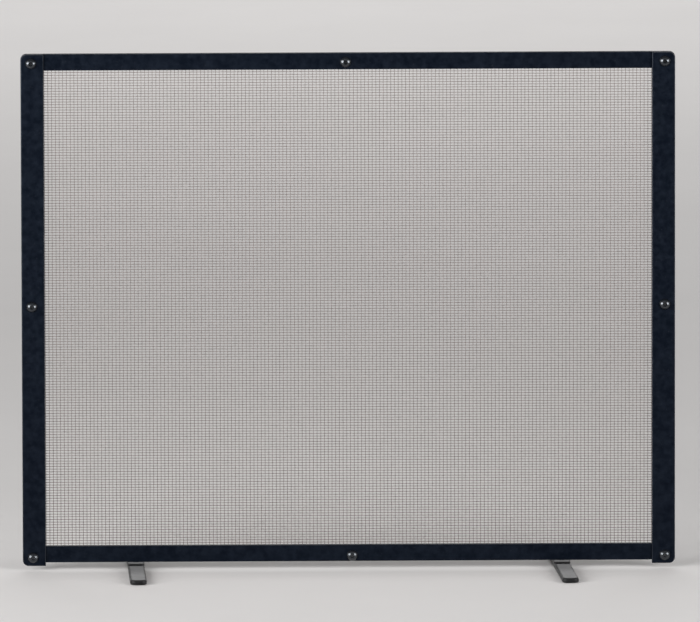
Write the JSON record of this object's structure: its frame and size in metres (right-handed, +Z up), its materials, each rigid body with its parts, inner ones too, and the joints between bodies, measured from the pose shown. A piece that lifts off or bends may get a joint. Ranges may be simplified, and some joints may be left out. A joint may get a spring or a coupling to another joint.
{
  "type": "fireplace screen",
  "caption": "Single-panel fireplace screen: woven wire cloth clamped in a bolted frame of flat black steel bars, on two flat-bar feet that swivel in line with the frame for storage.",
  "frame": {"origin": "on the floor, midway between the two feet, under the middle of the wire cloth's thickness", "axes": "+X to the right as seen from the front, along the frame; +Y from the front to the back, along the feet; +Z up"},
  "size_m": [0.9906, 0.2668, 0.7937],
  "materials": {
    "frame_paint": "satin",
    "foot_paint": "satin",
    "wire_cloth": "satin",
    "black_fasteners": "gloss"
  },
  "bodies": {
    "frame": {"front_left_stile": "frame_paint", "front_right_stile": "frame_paint", "front_top_rail": "frame_paint", "front_bottom_rail": "frame_paint", "left_packing_strip": "frame_paint", "right_packing_strip": "frame_paint", "mesh_panel": "wire_cloth", "rear_left_stile": "frame_paint", "rear_right_stile": "frame_paint", "rear_top_rail": "frame_paint", "rear_bottom_rail": "frame_paint", "stile_screws": "black_fasteners", "rail_screws": "black_fasteners", "frame_washers": "black_fasteners", "frame_nuts": "black_fasteners", "left_foot_bracket": "foot_paint", "right_foot_bracket": "foot_paint", "bracket_screws": "black_fasteners", "bracket_nuts": "black_fasteners", "left_pivot_rivet": "black_fasteners", "right_pivot_rivet": "black_fasteners", "left_pivot_washer": "black_fasteners", "right_pivot_washer": "black_fasteners"},
    "left_foot": {"left_foot": "foot_paint"},
    "right_foot": {"right_foot": "foot_paint"}
  },
  "joints": [
    {"name": "left_foot_swivel", "type": "hinge", "parent": "frame", "child": "left_foot", "pos_m": [-0.3235, 0, 0], "axis": [0, 0, 1], "range_deg": [-91.5, 88.5]},
    {"name": "right_foot_swivel", "type": "hinge", "parent": "frame", "child": "right_foot", "pos_m": [0.3235, 0, 0], "axis": [0, 0, 1], "range_deg": [-94.6, 85.4]}
  ]
}
